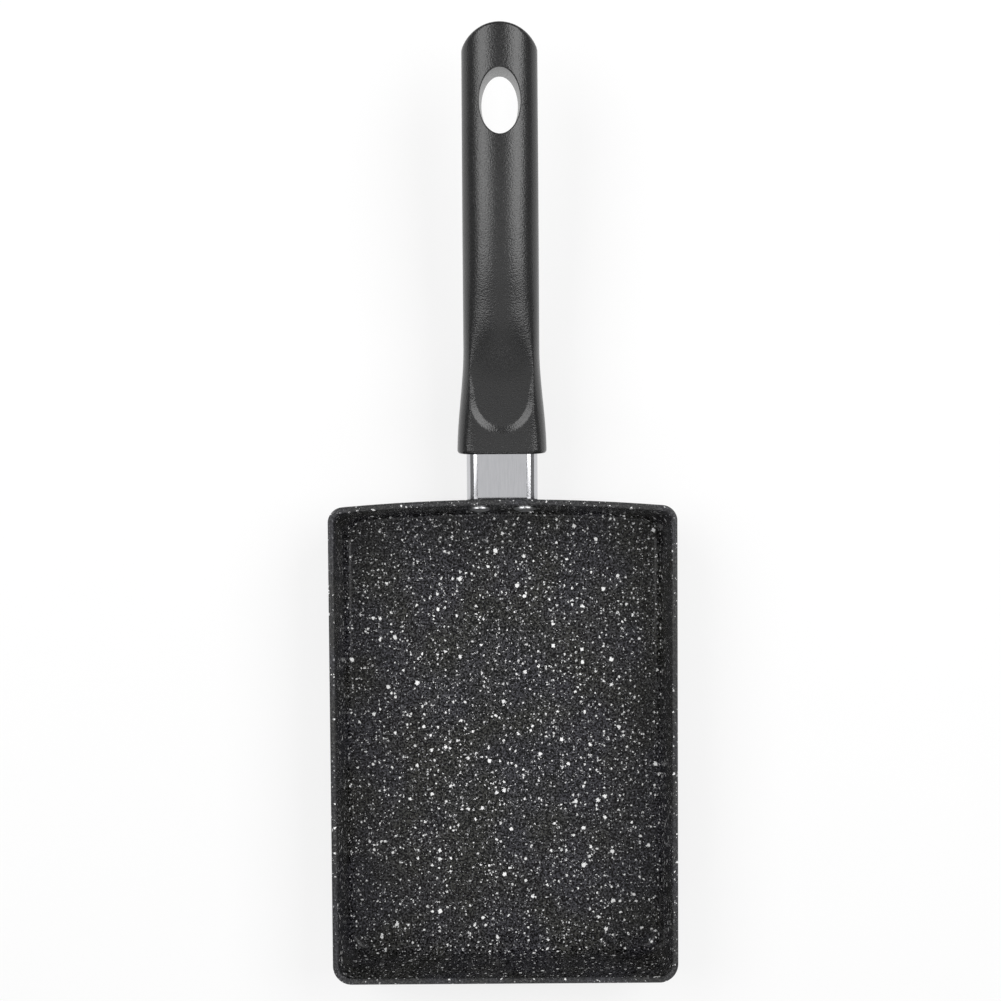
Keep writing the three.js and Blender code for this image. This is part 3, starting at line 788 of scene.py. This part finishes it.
def handle_ring(along, inset=0):
    """Section of the handle at a distance from the collar's front, drawn in by the inset.

    Past the centre of the end arc, the sides are cut off upright along that arc.
    """
    tip = max(0, along - HANDLE_LENGTH + END_RADIUS)
    grip_width = lerp(GRIP_FRONT_WIDTH, GRIP_END_WIDTH, along / HANDLE_LENGTH)
    half_width = lerp(COLLAR_WIDTH, grip_width, ease(along, 0, FLARE_LENGTH)) / 2 - inset
    limit = math.sqrt(END_RADIUS ** 2 - tip ** 2) if tip else half_width
    above = crown_height(along) - inset
    below = GRIP_HEIGHT / 2 + SHOULDER_DEPTH * (1 - ease(along, 0, BELLY_END)) - inset
    crown = lerp(COLLAR_SQUARENESS, GRIP_SQUARENESS, ease(along, CROWN_START, ROUNDING_END))
    belly = lerp(COLLAR_UNDERSIDE_SQUARENESS, UNDERSIDE_SQUARENESS, ease(along, 0, BELLY_END))
    middle = sweep_height(along)
    right = []
    for step in range(CURVE_POINTS + 1):
        turn = math.pi * step / CURVE_POINTS
        up = math.cos(turn)
        power = 2 / (crown if up > 0 else belly)
        x = min(limit, half_width * max(0, math.sin(turn)) ** power)
        edge = max(0, END_EDGE_RADIUS - END_RADIUS + math.hypot(x, tip)) if tip else 0
        drawn_in = END_EDGE_RADIUS - math.sqrt(END_EDGE_RADIUS ** 2 - edge ** 2)
        reach = (above if up > 0 else below) - drawn_in
        right.append((x, middle + math.copysign(reach * abs(up) ** power, up)))
    left = [(-x, z) for x, z in reversed(right[1:-1])]
    ramp_share = ease(abs(along - RAMP_START), 0, RAMP_END - RAMP_START)
    blend = lerp(SCOOP_BLEND, RAMP_BLEND, ramp_share)
    ring = []
    for x, z in spread_evenly(right + left, SECTION_POINTS):
        if z > middle and along < REST_END:
            z = soft_lower(z, thumb_rest(x, along) - inset, blend)
        ring.append((x, GUARD_LENGTH + along, z))
    return ring


def grip_face(x, along, side):
    """Height of the plain grip's top, side 1, or underside, side -1, over the handle's axis."""
    half_width = lerp(GRIP_FRONT_WIDTH, GRIP_END_WIDTH, along / HANDLE_LENGTH) / 2
    power = GRIP_SQUARENESS if side > 0 else UNDERSIDE_SQUARENESS
    reach = crown_height(along) if side > 0 else GRIP_HEIGHT / 2
    return sweep_height(along) + side * reach * (1 - abs(x / half_width) ** power) ** (1 / power)


def hanging_hole():
    """Cutter for the drafted oval hole through the grip, with a rounded lip on both faces."""

    def lip(side, outward, below):
        """Oval drawn outward from the hole's edge, at a depth below the face it runs into."""
        spread = outward + (side - 1) * GRIP_HEIGHT / 2 * HOLE_TAPER
        ring = []
        for turn in full_turn(HOLE_POINTS):
            x = (HOLE_WIDTH / 2 + spread) * math.cos(turn)
            along = HOLE_CENTRE + (HOLE_LENGTH / 2 + spread) * math.sin(turn)
            ring.append((x, GUARD_LENGTH + along, grip_face(x, along, side) - side * below))
        return ring

    lips = []
    for side in (-1, 1):
        rings = [
            lip(side, HOLE_LIP * (1 - cosine), HOLE_LIP * (1 - sine))
            for sine, cosine in quarter_turn(LIP_STEPS)[:-1]
        ]
        rings.append(lip(side, HOLE_LIP, -HOLE_LIP * LIP_OVERSHOOT))
        # The cutter's ends stand well clear of the grip.
        rings.append([(x, y, side * 2 * GRIP_HEIGHT) for x, y, _ in rings[-1]])
        lips.append(rings)
    return make_object("hanging_hole", loft(lips[0][::-1] + lips[1]), handle_place)


def upright_bore(diameter, low, high):
    """Round cutter on the screw's axis, square to the handle's line."""
    bar = turned_shape([(diameter / 2, low), (diameter / 2, high)])
    spot = Matrix.Translation((0, (GUARD_LENGTH + SCREW_POSITION) * MM, 0))
    upright = Matrix.Rotation(QUARTER, 4, "X")
    return make_object("upright_bore", bar, handle_place @ spot @ upright)


def straight_slot(width, length, low, high):
    """Square cutter that runs into the handle from the collar's front."""
    half = width / 2
    corners = [(-half, high), (half, high), (half, low), (-half, low)]
    ends = (GUARD_LENGTH, GUARD_LENGTH + length)
    bar = loft([[(x, end, z) for x, z in corners] for end in ends])
    return make_object("straight_slot", bar, handle_place)


def inner_cuts():
    """Room for the screw's head, its shank, the bracket's tongue and the nut on it."""
    return [
        upright_bore(COUNTERBORE_DIAMETER, COUNTERBORE_TOP - GRIP_HEIGHT, COUNTERBORE_TOP),
        upright_bore(SCREW_HOLE_DIAMETER, COUNTERBORE_TOP - FIT_GAP, TONGUE_TOP),
        straight_slot(
            TONGUE_WIDTH + 2 * FIT_GAP, TONGUE_REACH + FIT_GAP,
            TONGUE_UNDER - FIT_GAP, TONGUE_TOP + FIT_GAP,
        ),
        straight_slot(NUT_CHANNEL_WIDTH, NUT_CHANNEL_LENGTH, TONGUE_TOP, NUT_CHANNEL_TOP),
    ]


def handle():
    tip_start = HANDLE_LENGTH - END_RADIUS
    hole_start = HOLE_CENTRE - HOLE_LENGTH / 2 - HOLE_MARGIN
    socket = guard_outline(FIT_GAP, SECTION_POINTS)
    rings = [
        [(x, GUARD_LENGTH + SOCKET_DEPTH, z) for x, z in socket],
        [(x, GUARD_LENGTH, z) for x, z in socket],
    ]
    rings += [
        handle_ring(COLLAR_EDGE_RADIUS * (1 - cosine), COLLAR_EDGE_RADIUS * (1 - sine))
        for sine, cosine in quarter_turn(COLLAR_STEPS)
    ]
    stations = even_steps(COLLAR_EDGE_RADIUS, RAMP_END, THUMB_PITCH)
    stations += even_steps(RAMP_END, hole_start, GRIP_PITCH)
    stations += even_steps(hole_start, tip_start, HOLE_PITCH)
    tip_turns = even_steps(0, END_SWEEP, TIP_PITCH)
    stations += [tip_start + END_RADIUS * math.sin(turn) for turn in tip_turns]
    rings += [handle_ring(along) for along in stations]
    body = make_object("handle_moulding", loft(rings), handle_place)
    cut(body, [hanging_hole()] + inner_cuts())
    shade(body, HANDLE_SHARP_ANGLE)
    return body


# Assembly

FITTING_SHARP_ANGLE = 30

dress(tray(), stone_coating, "pan_body")
dress(rivet(-1, "rivet_head_left"), rivet_metal, "rivet_left")
dress(rivet(1, "rivet_head_right"), rivet_metal, "rivet_right")
dress(flame_guard(), stainless, "flame_guard")
dress(handle(), phenolic, "handle_grip")
for name in ("handle_bracket", "bracket_nut", "handle_screw", "spring_washer", "plain_washer"):
    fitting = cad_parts[name]
    fitting.data.materials.clear()
    fitting.data.materials.append(zinc)
    shade(fitting, FITTING_SHARP_ANGLE)


# Stage, light and camera, which stand in metres apart from the floor

FLOOR_RADIUS = 40000
FLOOR_POINTS = 64
WORLD_STRENGTH = 0.25
CAMERA_PLACE = (-0.0007, 0.08947, 0.690)
CAMERA_ROLL = math.radians(-0.4)


def floor_disc():
    outline = [
        (FLOOR_RADIUS * math.cos(turn), FLOOR_RADIUS * math.sin(turn), 0)
        for turn in full_turn(FLOOR_POINTS)
    ]
    disc = make_object("floor", (outline, [tuple(range(FLOOR_POINTS))]))
    disc.data.materials.append(matt_board())


def soft_box(name, place, target, width, length, radiance):
    """Soft rectangular lamp of an even radiance, which the camera doesn't see."""
    lamp = bpy.data.lights.new(name, "AREA")
    lamp.shape = "RECTANGLE"
    lamp.size = width
    lamp.size_y = length
    lamp.energy = radiance * math.pi * width * length
    holder = bpy.data.objects.new(name, lamp)
    holder.location = place
    aim = Vector(target) - Vector(place)
    holder.rotation_euler = aim.to_track_quat("-Z", "Y").to_euler()
    holder.visible_camera = False
    bpy.context.scene.collection.objects.link(holder)


floor_disc()
soft_box("left_box", (-0.50, 0.385, 0.79), (0, 0.385, 0.03), 0.83, 0.53, 3.6)
soft_box("right_box", (0.50, 0.385, 0.79), (0, 0.385, 0.03), 0.83, 0.53, 4.0)
soft_box("top_box", (0, -0.225, 1.3), (0, -0.225, 0), 0.6, 0.75, 0.58)
soft_box("front_box", (0, -1.0, 0.9), (0, 0, 0.02), 1.0, 0.4, 2.0)

world = bpy.data.worlds.new("studio")
world.use_nodes = True
sky = world.node_tree.nodes["Background"].inputs
sky["Color"].default_value = linear("#ffffff")
sky["Strength"].default_value = WORLD_STRENGTH
bpy.context.scene.world = world

camera = bpy.data.cameras.new("camera")
camera.sensor_width = 36
camera.lens = 63.43
viewer = bpy.data.objects.new("camera", camera)
viewer.location = CAMERA_PLACE
viewer.rotation_euler = (0, 0, CAMERA_ROLL)
bpy.context.scene.collection.objects.link(viewer)
bpy.context.scene.camera = viewer
bpy.context.scene.view_settings.view_transform = "Standard"
